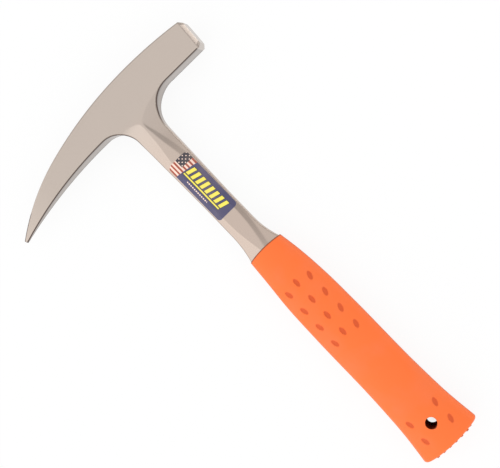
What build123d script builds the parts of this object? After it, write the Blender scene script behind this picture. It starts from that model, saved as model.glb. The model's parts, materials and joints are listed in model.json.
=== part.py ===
from build123d import *
import os
from math import atan2, cos, degrees, radians, sin, sqrt

# Rock hammer: a one-piece steel forging (square poll, curved pick, faceted neck, shank
# and hidden tang), an over-moulded oval grip, and a thin label on the front of the shank.
#
# The hammer lies on its side: +X towards the striking face, +Y towards the crown of the
# head, +Z up through its thickness.  The origin is the centre of its footprint, on the
# surface that it rests on.  Lengths are in millimetres.

# ---- Overall -------------------------------------------------------------------------
overall_length = 329.2      # crown of the head to the pips on the butt
poll_reach = 65.8           # handle axis to the striking face
pick_reach = 117.0          # handle axis to the point of the pick

# ---- Head ----------------------------------------------------------------------------
head_thickness = 21.0       # across the two flat cheeks
poll_depth = 22.0           # height of the poll at its striking end
poll_drop = 4.2             # crown to the upper corner of the striking end
face_tilt = 3.5             # the striking face leans in at its foot, in degrees
face_bevel = 2.4
neck_depth = 25.1           # crown to the underside of the head beside the neck
crown_peak = 11.0           # the crown is highest this far from the axis, to the poll side
crown_bend = 62.0           # the crown arc gives way to the pick's this far from the axis
crown_bend_drop = 8.4
edge_break = 0.6            # small bevel where the cheeks meet the crown and underside

pick_drop = 33.2            # crown to the middle of the point
pick_tip_height = 2.5
pick_tip_thickness = 2.6
pick_lean = 24.0            # slope of the pick at its point, in degrees
belly_place = 70.0          # a point half way along the underside of the pick
belly_depth = 26.0
taper_start = 10.0          # the cheeks curve in towards the point from here on

# ---- Neck and shank ------------------------------------------------------------------
shank_offset = -1.2         # the shank stands this far to the pick side of the grip
mouth_offset = -0.7         # the shank's wide end, where it enters the grip
poll_fillet = 21.5
pick_fillet = 17.0
neck_width = 21.2
waist_width = 19.4
mouth_width = 26.8
knee_depth = 46.0           # distances below the crown
neck_end = 49.0
label_start = 67.4
waist_place = 104.0
grip_start = 149.8
flare_length = 19.8         # the shank widens over this length to the grip's mouth
mouth_bow = 1.0             # rise of the curved line where steel meets grip
apex_depth = 33.7           # the flat cheek ends in a V with its point here
facet_margin = 0.5          # the facets are drawn this far past the shank's outline

# ---- Tang, hidden in the grip --------------------------------------------------------
tang_width = 20.0
tang_thickness = 8.0
tang_end_margin = 11.0      # steel left beyond the centre of the lanyard hole
web_thickness = 4.0
rail_width = 4.0
web_start = 18.2            # from the grip's mouth
web_margin = 16.2           # from the end of the web to the centre of the lanyard hole
tang_overlap = 6.0          # the tang runs this far up inside the shank

# ---- Grip ----------------------------------------------------------------------------
lip = 0.3                   # the grip stands proud of the steel by this at its mouth
butt_thickness = 26.0
end_roundness = 1.25        # radius of the oval's ends, against that of an ellipse
butt_bevel = 1.8
butt_bow = 1.7
pip_height = 1.0
pip_radius = 1.1
pip_pitch = 5.2
pip_count = 7               # in the middle row, one fewer in the row on each side
hole_from_butt = 21.0       # centre of the lanyard hole to the pips
hole_radius = 3.9

dimple_length = 7.2
dimple_width = 3.4
dimple_depth = 0.6
dimple_pitch = 14.6
dimple_start = 34.4         # from the grip's mouth to the first dimple of an outer column
dimple_lead = 2.4           # the middle column stands this much nearer the head
dimple_rows = 4
dimple_spread = 9.6         # middle column to an outer one
dimple_tilt = 15.0          # the outer dimples lean in towards the butt, in degrees
butt_dimple_place = 29.2    # from the pips to the first dimple at the butt
butt_dimple_rows = 2
butt_dimple_spread = 11.3

# ---- Label ---------------------------------------------------------------------------
label_length = 49.5
label_width = 17.2
label_corner = 2.5
label_thickness = 0.2

# ---- Datum: handle axis, crown and mid-plane ------------------------------------------
axis_x = (pick_reach - poll_reach) / 2
crown_y = overall_length / 2
mid_z = butt_thickness / 2
plan = Plane(origin=(axis_x, crown_y, mid_z), x_dir=(1, 0, 0), z_dir=(0, 0, 1))
side = Plane(origin=(axis_x, crown_y, mid_z), x_dir=(1, 0, 0), z_dir=(0, -1, 0))
shank_side = side.shift_origin((axis_x + shank_offset, crown_y, mid_z))

half_head = head_thickness / 2
tip_half = pick_tip_thickness / 2

# ---- Corners of the forging's outline, seen from the front -----------------------------
# The striking face leans, and a bevel of equal width runs round it.
face_out = Vector(cos(radians(face_tilt)), -sin(radians(face_tilt)))
face_up = Vector(sin(radians(face_tilt)), cos(radians(face_tilt)))
face_top = Vector(poll_reach, -poll_drop - face_bevel)
face_foot = face_top - face_up * (poll_depth - 2 * face_bevel)
poll_top = face_top - face_out * face_bevel + face_up * face_bevel
poll_foot = face_foot - face_out * face_bevel - face_up * face_bevel

peak = (crown_peak, 0)
bend = (-crown_bend, -crown_bend_drop)
lean = radians(pick_lean)
tip_top = (-pick_reach, -pick_drop + pick_tip_height / 2 * cos(lean))
tip_foot = (-pick_reach + pick_tip_height * sin(lean), tip_top[1] - pick_tip_height * cos(lean))

neck_right = shank_offset + neck_width / 2
neck_left = shank_offset - neck_width / 2
waist_right = shank_offset + waist_width / 2
waist_left = shank_offset - waist_width / 2
mouth_right = mouth_offset + mouth_width / 2
mouth_left = mouth_offset - mouth_width / 2
mouth_end = grip_start + 2 * mouth_bow
flare_start = grip_start - flare_length
poll_corner = (neck_right, -neck_depth)
pick_corner = (neck_left, -neck_depth)
pick_root = neck_left - pick_fillet
hole_place = overall_length - hole_from_butt
tang_end = hole_place + tang_end_margin

# The fillets end before the neck's sides begin to close in.
fillet_room = 0.95 * (neck_end - neck_depth)
with BuildSketch(plan) as outline:
    with BuildLine():
        TangentArc(peak, poll_top, tangent=(1, 0))
        crown = TangentArc(peak, bend, tangent=(-1, 0))
        TangentArc(bend, tip_top, tangent=crown % 1)
        Line(tip_top, tip_foot)
        ThreePointArc(tip_foot, (-belly_place, -belly_depth), pick_corner)
        Line(pick_corner, (neck_left, -neck_end))
        Line((neck_left, -neck_end), (waist_left, -waist_place))
        Line((waist_left, -waist_place), (waist_left, -flare_start))
        TangentArc((waist_left, -flare_start), (mouth_left, -mouth_end), tangent=(0, -1))
        Line((mouth_left, -mouth_end), (mouth_right, -mouth_end))
        TangentArc((waist_right, -flare_start), (mouth_right, -mouth_end), tangent=(0, -1))
        Line((waist_right, -waist_place), (waist_right, -flare_start))
        Line((neck_right, -neck_end), (waist_right, -waist_place))
        Line(poll_corner, (neck_right, -neck_end))
        Line(poll_corner, poll_foot)
        Polyline(poll_foot, face_foot, face_top, poll_top)
    make_face()
    fillet(outline.vertices().sort_by_distance(poll_corner)[0], radius=min(poll_fillet, fillet_room))
    fillet(outline.vertices().sort_by_distance(pick_corner)[0], radius=min(pick_fillet, fillet_room))

# ---- What limits the thickness of the head ---------------------------------------------
# Parallel cheeks that close in along the pick, and a bevel round the striking face.
poll_flat = poll_reach - taper_start - poll_fillet / 2
face_plane = Plane(
    origin=plan.from_local_coords(face_top),
    x_dir=(face_out.X, face_out.Y, 0),
    z_dir=(-face_up.X, -face_up.Y, 0),
)
with BuildPart() as cheeks:
    with BuildSketch(side):
        with BuildLine():
            TangentArc((taper_start, half_head), (-pick_reach, tip_half), tangent=(-1, 0))
            Polyline((taper_start, half_head), (taper_start + poll_fillet, half_head))
            Line((taper_start + poll_fillet, half_head), (taper_start + poll_fillet, 0))
            Polyline((taper_start + poll_fillet, 0), (-pick_reach, 0), (-pick_reach, tip_half))
        make_face()
        mirror(about=Plane.XZ)
    extrude(amount=overall_length, both=True)
    with BuildSketch(face_plane):
        with BuildLine():
            Polyline(
                (-poll_flat, 0),
                (-poll_flat, half_head),
                (-face_bevel, half_head),
                (0, half_head - face_bevel),
                (0, 0),
                close=True,
            )
        make_face()
        mirror(about=Plane.XZ)
    extrude(amount=poll_reach, both=True)


def facet_section(depth, panel, panel_z, bevel, bevel_z, edge, edge_z):
    """Twelve-sided cross-section of the neck or shank at a depth below the crown.

    Each pair is a half-width and a half-thickness: at the edge of the flat panel, at the
    outer edge of the bevel beside it, and at the side of the section.
    """
    corner = [(edge, edge_z), (bevel, bevel_z), (panel, panel_z)]
    right = [(x, z) for x, z in corner] + [(-x, z) for x, z in reversed(corner)]
    around = right + [(-x, -z) for x, z in right]
    with BuildSketch(shank_side.offset(depth)) as section:
        with BuildLine():
            Polyline(*around, close=True)
        make_face()
    return section.sketch


# The facets of the neck and shank.  Above the point of the V the ridge stands higher than
# the cheeks, so the flat cheeks cut it off along two curved lines that meet in the V.
head_zone = neck_depth + 0.35
neck_half = neck_width / 2 + facet_margin
waist_half = waist_width / 2 + facet_margin
mouth_half = mouth_width / 2 + facet_margin
facet_stations = [
    facet_section(neck_depth - 2.0, 2.0, 12.9, 11.0, 12.5, 36.0, 11.3),
    facet_section(apex_depth, 0.8, 10.5, 2.3, 10.1, 15.5, 5.2),
    facet_section(knee_depth, 1.3, 8.7, 4.2, 7.7, neck_half, 1.9),
    facet_section(label_start, 4.0, 6.4, 8.2, 4.0, waist_half + 0.8, 1.0),
    facet_section(waist_place, 5.2, 5.4, 8.6, 2.9, waist_half, 0.9),
    facet_section(flare_start, 4.6, 5.5, 8.1, 3.3, waist_half, 0.9),
    facet_section(mouth_end + 3.0, 0.7, 6.9, 5.6, 5.7, mouth_half + 0.6, 1.5),
]
with BuildPart() as facets:
    loft(facet_stations)
    with BuildSketch(plan.offset(-head_thickness)):
        with BuildLine():
            Polyline(
                (-pick_reach - 1, 1),
                (poll_reach + 1, 1),
                (poll_reach + 1, -overall_length / 9),
                (poll_foot.X, -overall_length / 9),
                (neck_right + poll_fillet, -head_zone),
                (pick_root, -head_zone),
                (pick_root, -overall_length / 3),
                (-pick_reach - 1, -overall_length / 3),
                close=True,
            )
        make_face()
    extrude(amount=2 * head_thickness)

# ---- Forging -----------------------------------------------------------------------------
web_top = grip_start + web_start
web_foot = hole_place - web_margin
with BuildSketch(plan) as tang_outline:
    with BuildLine():
        FilletPolyline(
            (-tang_width / 2, -grip_start + tang_overlap),
            (-tang_width / 2, -tang_end),
            (tang_width / 2, -tang_end),
            (tang_width / 2, -grip_start + tang_overlap),
            radius=tang_width / 3,
        )
        Line((-tang_width / 2, -grip_start + tang_overlap), (tang_width / 2, -grip_start + tang_overlap))
    make_face()

# The line where steel meets grip, bowed towards the head, and all that lies below it.
mouth_edge = mouth_width
with BuildSketch(plan) as mouth_outline:
    with BuildLine():
        ThreePointArc(
            (-mouth_edge, -grip_start - mouth_bow * (mouth_edge / mouth_right) ** 2),
            (0, -grip_start),
            (mouth_edge, -grip_start - mouth_bow * (mouth_edge / mouth_right) ** 2),
        )
        Polyline(
            (-mouth_edge, -grip_start - mouth_bow * (mouth_edge / mouth_right) ** 2),
            (-mouth_edge, -overall_length),
            (mouth_edge, -overall_length),
            (mouth_edge, -grip_start - mouth_bow * (mouth_edge / mouth_right) ** 2),
        )
    make_face()

butt_end = overall_length - pip_height
butt_half = 24.0
with BuildSketch(plan) as grip_plan:
    add(mouth_outline.sketch_local)
    with BuildLine():
        ThreePointArc(
            (-mouth_edge, -butt_end + butt_bow * (mouth_edge / butt_half) ** 2),
            (0, -butt_end),
            (mouth_edge, -butt_end + butt_bow * (mouth_edge / butt_half) ** 2),
        )
        Polyline(
            (-mouth_edge, -butt_end + butt_bow * (mouth_edge / butt_half) ** 2),
            (-mouth_edge, -overall_length - 1),
            (mouth_edge, -overall_length - 1),
            (mouth_edge, -butt_end + butt_bow * (mouth_edge / butt_half) ** 2),
        )
    make_face(mode=Mode.SUBTRACT)

with BuildSketch(plan) as lanyard_circle:
    with Locations((0, -hole_place)):
        Circle(hole_radius)

face_bevel_start = plan.from_local_coords(poll_foot).X - face_bevel
with BuildPart() as forging:
    with BuildSketch(plan):
        add(outline.sketch_local)
    extrude(amount=half_head, both=True)
    add(cheeks.part, mode=Mode.INTERSECT)
    rim = forging.edges().filter_by(Axis.Y, reverse=True)
    rim = rim.filter_by(lambda edge: abs(edge.center().Z - mid_z) > tip_half)
    rim = rim.filter_by(lambda edge: edge.length > poll_depth / 2)
    chamfer(rim.filter_by(lambda edge: edge.center().X < face_bevel_start), length=edge_break)
    add(facets.part, mode=Mode.INTERSECT)
    with BuildSketch(plan):
        add(mouth_outline.sketch_local)
    extrude(amount=head_thickness, both=True, mode=Mode.SUBTRACT)
    with BuildSketch(plan):
        add(tang_outline.sketch_local)
    extrude(amount=tang_thickness / 2, both=True)
    with BuildSketch(plan.offset(web_thickness / 2)):
        with Locations((0, -(web_top + web_foot) / 2)):
            SlotOverall(web_foot - web_top, tang_width - 2 * rail_width, rotation=90)
    web_pocket = extrude(amount=tang_thickness, mode=Mode.SUBTRACT)
    mirror(web_pocket, about=plan, mode=Mode.SUBTRACT)
    with BuildSketch(plan):
        add(lanyard_circle.sketch_local)
    extrude(amount=tang_thickness, both=True, mode=Mode.SUBTRACT)
forging.part.label = "forging"

# ---- Grip --------------------------------------------------------------------------------
# Stations of the oval: distance below the crown, half-width, half-thickness and how far the
# middle stands from the handle axis.  The upper ones are measured from the mouth of the
# grip and the lower ones from the butt.
grip_stations = [
    (grip_start - 2 * mouth_bow, mouth_width / 2 + lip, 7.4, mouth_offset),
    (grip_start + 16.2, 15.7, 8.6, 0),
    (grip_start + 27.2, 16.9, 9.2, 0),
    (grip_start + 40.2, 17.7, 9.6, 0),
    (grip_start + 66.2, 18.4, 10.1, 0),
    (overall_length - 53.2, 18.9, 10.9, 0),
    (overall_length - 27.2, 20.1, 11.9, 0),
    (overall_length + 2.0, 23.3, butt_thickness / 2 + 0.3, 0),
]


def oval_radii(half_width, half_thickness):
    """Radii of the end arcs and of the flatter front and back arcs that meet them smoothly."""
    end = end_roundness * half_thickness**2 / half_width
    reach = half_width - end
    front = (reach**2 + half_thickness**2 - end**2) / (2 * (half_thickness - end))
    return end, front


def oval_section(depth, half_width, half_thickness, offset):
    """Oval cross-section of four tangent arcs at a depth below the crown."""
    end, front = oval_radii(half_width, half_thickness)
    turn = atan2(half_width - end, front - half_thickness)
    x = front * sin(turn)
    z = front * cos(turn) - front + half_thickness
    with BuildSketch(side.shift_origin((axis_x + offset, crown_y, mid_z)).offset(depth)) as section:
        with BuildLine():
            ThreePointArc((-x, z), (0, half_thickness), (x, z))
            ThreePointArc((x, z), (half_width, 0), (x, -z))
            ThreePointArc((x, -z), (0, -half_thickness), (-x, -z))
            ThreePointArc((-x, -z), (-half_width, 0), (-x, z))
        make_face()
    return section.sketch


def grip_surface(x, depth):
    """Height of the grip's front above the mid-plane, and its slope across, in degrees."""
    for upper, lower in zip(grip_stations, grip_stations[1:]):
        if upper[0] <= depth <= lower[0]:
            share = (depth - upper[0]) / (lower[0] - upper[0])
            half_width = upper[1] + share * (lower[1] - upper[1])
            half_thickness = upper[2] + share * (lower[2] - upper[2])
    end, front = oval_radii(half_width, half_thickness)
    rise = sqrt(front**2 - x**2)
    return rise - front + half_thickness, degrees(atan2(x, rise))


# One dimple is a long hexagon with a flat floor and sloping walls.  Its floor lies at z = 0
# and the surface of the grip at `dimple_depth`.
floor_length = dimple_length - 2 * dimple_depth
floor_width = dimple_width - 2 * dimple_depth
with BuildPart() as dimple:
    with BuildSketch():
        with BuildLine():
            Polyline(
                (-floor_length / 2, 0),
                (-floor_length / 4, floor_width / 2),
                (floor_length / 4, floor_width / 2),
                (floor_length / 2, 0),
            )
            mirror(about=Plane.XZ)
        make_face()
    extrude(amount=2 * dimple_depth, taper=-45)

# Three columns of dimples and two short ones at the butt, the same on the front and back.
first_dimple = grip_start + dimple_start
first_butt_dimple = overall_length - butt_dimple_place
dimple_spots = [(0, first_dimple - dimple_lead + row * dimple_pitch) for row in range(dimple_rows)]
for hand in (-1, 1):
    for row in range(dimple_rows):
        dimple_spots.append((hand * dimple_spread, first_dimple + row * dimple_pitch))
    for row in range(butt_dimple_rows):
        dimple_spots.append((hand * butt_dimple_spread, first_butt_dimple + row * dimple_pitch))

dimple_places = []
for x, depth in dimple_spots:
    height, slope = grip_surface(x, depth)
    turn = 90 - dimple_tilt * ((x > 0) - (x < 0))
    on_grip = Pos(x, -depth, height) * Rot(0, slope, 0) * Pos(0, 0, -dimple_depth) * Rot(0, 0, turn)
    dimple_places += [plan.location * on_grip, plan.location * Rot(0, 180, 0) * on_grip]

# Pips stand on the butt in three staggered rows and follow its bow.
with BuildPart() as pips:
    with BuildSketch(side.offset(butt_end - butt_thickness / 4)):
        with GridLocations(pip_pitch, 2 * pip_pitch, pip_count - 1, 2):
            RegularPolygon(pip_radius, 6)
        with GridLocations(pip_pitch, pip_pitch, pip_count, 1):
            RegularPolygon(pip_radius, 6)
    extrude(amount=butt_thickness)
    with BuildSketch(plan):
        with Locations((0, -pip_height)):
            add(grip_plan.sketch_local)
    extrude(amount=butt_thickness / 2, both=True, mode=Mode.INTERSECT)

with BuildPart() as grip:
    loft([oval_section(*station) for station in grip_stations], ruled=True)
    with BuildSketch(plan):
        add(grip_plan.sketch_local)
    extrude(amount=butt_thickness / 2, both=True, mode=Mode.INTERSECT)
    butt_rim = grip.faces().sort_by(Axis.Y)[0].edges()
    chamfer(butt_rim, length=butt_bevel)
    with Locations(*dimple_places):
        add(dimple.part, mode=Mode.SUBTRACT)
    add(pips.part)
    with BuildSketch(plan):
        add(lanyard_circle.sketch_local)
    extrude(amount=butt_thickness, both=True, mode=Mode.SUBTRACT)
    add(forging.part, mode=Mode.SUBTRACT)
grip.part.label = "grip"

# ---- Label -------------------------------------------------------------------------------
# A layer lifted off the facets by its own thickness, trimmed to a rounded rectangle.
with BuildPart() as label:
    add(forging.part.moved(Location((0, 0, label_thickness))))
    with BuildSketch(plan):
        with Locations((shank_offset, -label_start - label_length / 2)):
            RectangleRounded(label_width, label_length, label_corner)
    extrude(amount=head_thickness, mode=Mode.INTERSECT)
    add(forging.part, mode=Mode.SUBTRACT)
label.part.label = "label"

os.makedirs("parts", exist_ok=True)
export_step(forging.part, "parts/forging.step")
export_step(grip.part, "parts/grip.step")
export_step(label.part, "parts/label.step")
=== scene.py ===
"""Rock hammer: polished one-piece steel forging, printed label and moulded orange grip.

Plan points are complex numbers: the real part is the distance from the handle axis towards
the striking face, the imaginary part is the height, with the crown of the head at zero and
the handle running down.  Heights above the mid-plane of the hammer are kept apart as z.
"""

import json

import bmesh
import bpy
import numpy as np
from bpy.props import FloatProperty, FloatVectorProperty, IntProperty, PointerProperty
from mathutils import Matrix, Vector


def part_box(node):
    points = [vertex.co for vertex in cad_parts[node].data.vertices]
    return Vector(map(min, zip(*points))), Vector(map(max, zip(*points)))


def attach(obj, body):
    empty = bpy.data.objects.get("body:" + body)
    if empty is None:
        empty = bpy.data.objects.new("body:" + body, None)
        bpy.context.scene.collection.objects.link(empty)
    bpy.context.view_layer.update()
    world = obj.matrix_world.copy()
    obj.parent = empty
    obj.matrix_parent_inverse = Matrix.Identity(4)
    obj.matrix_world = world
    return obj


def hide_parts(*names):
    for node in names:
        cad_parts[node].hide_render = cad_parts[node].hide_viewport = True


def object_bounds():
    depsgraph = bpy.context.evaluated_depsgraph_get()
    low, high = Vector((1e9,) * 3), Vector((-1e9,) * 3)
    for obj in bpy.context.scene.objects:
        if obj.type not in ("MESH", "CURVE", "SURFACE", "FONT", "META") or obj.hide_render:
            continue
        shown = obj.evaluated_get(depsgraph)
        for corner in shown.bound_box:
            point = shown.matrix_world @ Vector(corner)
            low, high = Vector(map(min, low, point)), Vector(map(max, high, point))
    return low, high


bl_info = {
    "name": "Rock hammer",
    "version": (1, 0, 0),
    "blender": (4, 5, 0),
    "location": "3D View > Sidebar > Rock hammer",
    "description": "Builds a one-piece rock hammer with a moulded grip",
    "category": "Add Mesh",
}

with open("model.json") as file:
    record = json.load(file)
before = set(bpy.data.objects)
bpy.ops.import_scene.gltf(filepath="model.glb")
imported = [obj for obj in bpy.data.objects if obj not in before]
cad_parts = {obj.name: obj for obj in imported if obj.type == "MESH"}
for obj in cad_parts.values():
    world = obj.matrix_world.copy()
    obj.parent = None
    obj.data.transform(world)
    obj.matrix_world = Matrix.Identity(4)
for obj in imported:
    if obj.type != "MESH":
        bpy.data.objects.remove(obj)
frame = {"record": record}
MM = 0.001
CAD_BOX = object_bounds()

# The frame gives the handle axis, the mid-plane and the crown.
LANYARD_HOLE = next(m for m in frame["record"]["mounts"] if m["name"] == "lanyard_hole")
HANDLE_X = LANYARD_HOLE["pos_m"][0]
MID_Z = LANYARD_HOLE["pos_m"][2]
CROWN_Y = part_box("forging")[1][1]
HOLE_RADIUS = LANYARD_HOLE["dims"]["r_mm"] * MM
HOLE_DEPTH = CROWN_Y - LANYARD_HOLE["pos_m"][1]


# ---- Settings --------------------------------


def length(name, description, millimetres):
    """A length setting in metres, with its default written in millimetres."""
    return FloatProperty(
        name=name, description=description, default=millimetres * MM, unit="LENGTH", precision=5
    )


def colour(name, description, value):
    """A linear colour setting."""
    return FloatVectorProperty(
        name=name, description=description, default=value, size=3, min=0, max=1, subtype="COLOR"
    )


def share(name, description, value):
    """A setting between nought and one."""
    return FloatProperty(
        name=name, description=description, default=value, min=0, max=1, subtype="FACTOR"
    )


def tilt(name, description, degrees):
    """An angle setting, with its default written in degrees."""
    return FloatProperty(
        name=name, description=description, default=np.radians(degrees), subtype="ANGLE"
    )


def brightness(name, description, value):
    """A brightness setting, where one is white."""
    return FloatProperty(name=name, description=description, default=value, min=0)


class HeadSizes(bpy.types.PropertyGroup):
    """Sizes of the head."""

    poll_reach: length("Poll reach", "Handle axis to the striking face", 65.8)
    pick_reach: length("Pick reach", "Handle axis to the point of the pick", 117.0)
    thickness: length("Thickness", "Across the two flat cheeks", 21.0)
    poll_depth: length("Poll depth", "Height of the poll at its striking end", 22.0)
    poll_drop: length("Poll drop", "Crown to the upper corner of the striking end", 4.2)
    face_bevel: length("Face bevel", "Width of the bevel round the striking face", 2.4)
    face_tilt: tilt("Face tilt", "Lean of the striking face", 3.5)
    neck_depth: length("Neck depth", "Crown to the underside beside the neck", 25.1)
    crown_peak: length("Crown peak", "Handle axis to the highest point of the crown", 11.0)
    crown_bend: length("Crown bend", "Handle axis to where the pick's arc begins", 62.0)
    crown_bend_drop: length("Bend drop", "Crown to the bend", 8.4)
    pick_drop: length("Pick drop", "Crown to the middle of the point", 33.2)
    tip_height: length("Tip height", "Height of the blunt point", 2.5)
    tip_thickness: length("Tip thickness", "Thickness of the blunt point", 2.6)
    tip_lean: tilt("Tip lean", "Slope of the pick at its point", 24.0)
    belly_place: length("Belly place", "Handle axis to the middle of the pick's underside", 70.0)
    belly_depth: length("Belly depth", "Crown to the middle of the pick's underside", 26.0)
    taper_start: length("Taper start", "Handle axis to where the cheeks close in", 10.0)
    edge_round: length("Edge round", "Radius along the outline", 0.8)
    crease: length("Crease", "Softness of the ridges between facets", 0.28)


class ShankSizes(bpy.types.PropertyGroup):
    """Sizes of the neck and shank."""

    offset: length("Offset", "Shank's middle to the handle axis, towards the pick", 1.2)
    poll_fillet: length("Poll fillet", "Radius between poll and neck", 21.5)
    pick_fillet: length("Pick fillet", "Radius between pick and neck", 17.0)
    neck_width: length("Neck width", "Width just below the head", 21.2)
    waist_width: length("Waist width", "Width at the waist", 19.4)
    mouth_width: length("Mouth width", "Width where the grip starts", 26.8)
    mouth_offset: length("Mouth offset", "Wide end's middle to the handle axis", 0.7)
    neck_end: length("Neck end", "Crown to the end of the neck", 49.0)
    waist_place: length("Waist place", "Crown to the waist", 104.0)
    flare_start: length("Flare start", "Crown to the start of the flare", 130.0)
    grip_start: length("Grip start", "Crown to the middle of the grip's mouth", 149.8)
    sunk: length("Sunk length", "Steel that runs on inside the grip's mouth", 2.0)


class GripSizes(bpy.types.PropertyGroup):
    """Sizes of the moulded grip."""

    mouth_bow: length("Mouth bow", "Rise of the curved mouth", 1.0)
    mouth_round: length("Mouth round", "Radius round the mouth", 0.6)
    butt_thickness: length("Butt thickness", "Greatest thickness, at the butt", 26.0)
    butt_round: length("Butt round", "Radius round the butt", 2.5)
    butt_bow: length("Butt bow", "Bulge of the butt's end", 1.7)
    pip_height: length("Pip height", "Height of the pips on the butt", 1.0)
    pip_radius: length("Pip radius", "Radius of a pip", 1.1)
    pip_pitch: length("Pip pitch", "Distance between pips", 5.2)
    pip_count: IntProperty(name="Pips", description="Pips in the middle row", default=7, min=2)
    side_shade: length("Side shade", "Half of the deeper band along each side", 4.0)
    dimple_length: length("Dimple length", "Length of a dimple", 7.2)
    dimple_width: length("Dimple width", "Width of a dimple", 3.4)
    dimple_depth: length("Dimple depth", "Depth of a dimple", 0.6)
    dimple_pitch: length("Dimple pitch", "Distance between dimples along the grip", 14.6)
    dimple_start: length("Dimple start", "Crown to the first outer dimple", 184.2)
    dimple_lead: length("Dimple lead", "Middle column's lead towards the head", 2.4)
    dimple_spread: length("Dimple spread", "Middle column to an outer one", 9.6)
    butt_dimple_start: length("Butt dimple start", "Crown to the first dimple at the butt", 300.0)
    butt_dimple_spread: length("Butt dimple spread", "Middle to a dimple at the butt", 11.3)
    dimple_tilt: tilt("Dimple tilt", "Lean of the outer dimples", 15.0)
    around: IntProperty(name="Around", description="Faces round the grip", default=192, min=24)


class LabelSizes(bpy.types.PropertyGroup):
    """Sizes of the printed label."""

    start: length("Start", "Crown to the label", 67.4)
    extent: length("Length", "Length of the label", 49.5)
    width: length("Width", "Width of the label", 17.2)
    corner: length("Corner", "Radius of the corners", 2.5)
    thickness: length("Thickness", "Thickness of the layer", 0.2)


class Finishes(bpy.types.PropertyGroup):
    """Colours and roughness of the materials."""

    steel: colour("Steel", "Polished steel", (0.51, 0.44, 0.388))
    warm_steel: colour("Warm steel", "Steel of the shank", (0.525, 0.427, 0.366))
    # Painted shade: the Scale colour darkens the rounded edges and the walls below the head, where
    # shade and dark reflections fall.
    scale: colour("Scale", "Dark scale in the edges", (0.11, 0.08, 0.068))
    steel_roughness: share("Steel roughness", "Roughness of the steel", 0.24)
    grip: colour("Grip", "Moulded grip", (1.0, 0.18, 0.035))
    grip_roughness: share("Grip roughness", "Roughness of the grip", 0.5)
    # Painted shade: darker orange for the dimples, the bands along the sides and the pips, where
    # shade falls.
    deep: colour("Deep grip", "Grip in the dimples and along its sides", (0.72, 0.1, 0.02))
    # Painted shade: dark rim at the grip's mouth, a thin line along the mid-plane and the pips.
    seam: colour("Seam", "Shaded rim of the grip's mouth", (0.2, 0.05, 0.02))
    # Painted shade: dark colour of the lanyard hole's wall, where the hole lies in deep shade.
    painted_bore_shade: colour("Bore", "Wall of the lanyard hole", (0.16, 0.02, 0.006))
    navy: colour("Navy", "Ground of the label", (0.092, 0.086, 0.165))
    yellow: colour("Yellow", "Bars on the label", (0.95, 0.83, 0.12))
    cream: colour("Cream", "Pale print on the label", (0.95, 0.72, 0.61))
    red: colour("Red", "Red print on the label", (0.4, 0.09, 0.055))
    canton: colour("Canton", "Dark corner of the label", (0.065, 0.058, 0.07))


class StageSettings(bpy.types.PropertyGroup):
    """Floor, light and camera."""

    world_level: brightness("Room", "Brightness of the dim side of the room", 0.66)
    top_level: brightness("Overhead", "What the room gains overhead and beyond the butt", 0.37)
    side_level: brightness("Pick side", "What the room gains on the pick side", 0.78)
    panel_level: brightness("Panel", "Brightness of the panel overhead", 0.1)
    low_level: brightness("Low strip", "Brightness of the low strip on the poll side", 2.4)
    focal: FloatProperty(name="Focal length", description="In millimetres", default=105.3, min=1)


class HammerSettings(bpy.types.PropertyGroup):
    """All settings of the rock hammer."""

    head: PointerProperty(type=HeadSizes)
    shank: PointerProperty(type=ShankSizes)
    grip: PointerProperty(type=GripSizes)
    label: PointerProperty(type=LabelSizes)
    finish: PointerProperty(type=Finishes)
    stage: PointerProperty(type=StageSettings)


# ---- Curves and profiles ---------------------


def arc_centre(start, middle, end):
    """Centre of the circle through three points: where the chords' bisectors meet."""
    ratio = (end - start) / (middle - start)
    return start + (middle - start) * (ratio - abs(ratio) ** 2) / (2j * ratio.imag)


def arc_through(start, middle, end, count):
    """Points evenly along the arc from start through middle to end.

    The radius vector at the start turns about the centre by equal shares of the sweep.
    """
    centre = arc_centre(start, middle, end)
    sweep = np.angle((end - centre) / (start - centre))
    return centre + (start - centre) * np.exp(1j * sweep * np.linspace(0, 1, count))


def arc_tangent(start, direction, end, count):
    """Points evenly along the arc that leaves start in a direction and ends at end.

    The angle between direction and chord is half the sweep, so the chord to a share t of the
    arc is the whole chord times sin(t half) / sin(half), turned by half times (t - 1).
    """
    chord = end - start
    half = np.angle(chord / direction)
    t = np.linspace(0, 1, count)
    return start + chord * np.sin(half * t) / np.sin(half) * np.exp(1j * half * (t - 1))


def resample(points, count):
    """The same path with points at equal steps of its length."""
    run = np.concatenate([[0], np.cumsum(np.abs(np.diff(points)))])
    at = np.linspace(0, run[-1], count)
    return np.interp(at, run, points.real) + 1j * np.interp(at, run, points.imag)


def outline_distance(points, outline):
    """Distance from each point to a polyline: the least over its segments.

    On each segment the nearest place is the point's projection, held between the ends.
    """
    start = outline[:-1][None, :]
    step = np.diff(outline)[None, :]
    flat = points.reshape(-1, 1)
    place = np.clip(((flat - start) * np.conj(step)).real / np.abs(step) ** 2, 0, 1)
    return np.abs(flat - start - place * step).min(axis=1).reshape(points.shape)


def hermite(x, knots, values):
    """Smooth curve through values at knots, flat beyond the ends.

    Each span is a cubic whose end slopes are the mean slopes of the spans beside the knot.
    """
    knots = np.asarray(knots, float)
    values = np.asarray(values, float)
    x = np.clip(x, knots[0], knots[-1])
    slopes = np.gradient(values, knots)
    span = np.clip(np.searchsorted(knots, x, side="right") - 1, 0, len(knots) - 2)
    width = knots[span + 1] - knots[span]
    t = (x - knots[span]) / width
    return (
        (2 * t**3 - 3 * t**2 + 1) * values[span]
        + (t**3 - 2 * t**2 + t) * width * slopes[span]
        + (3 * t**2 - 2 * t**3) * values[span + 1]
        + (t**3 - t**2) * width * slopes[span + 1]
    )


def soft_min(first, second, softness):
    """The lesser of two heights, with the crease between them rounded.

    Half their sum less half the root of the squared difference plus the squared softness.
    """
    return 0.5 * (first + second - np.sqrt((first - second) ** 2 + softness**2))


EDGE_STEPS = 6


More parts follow.
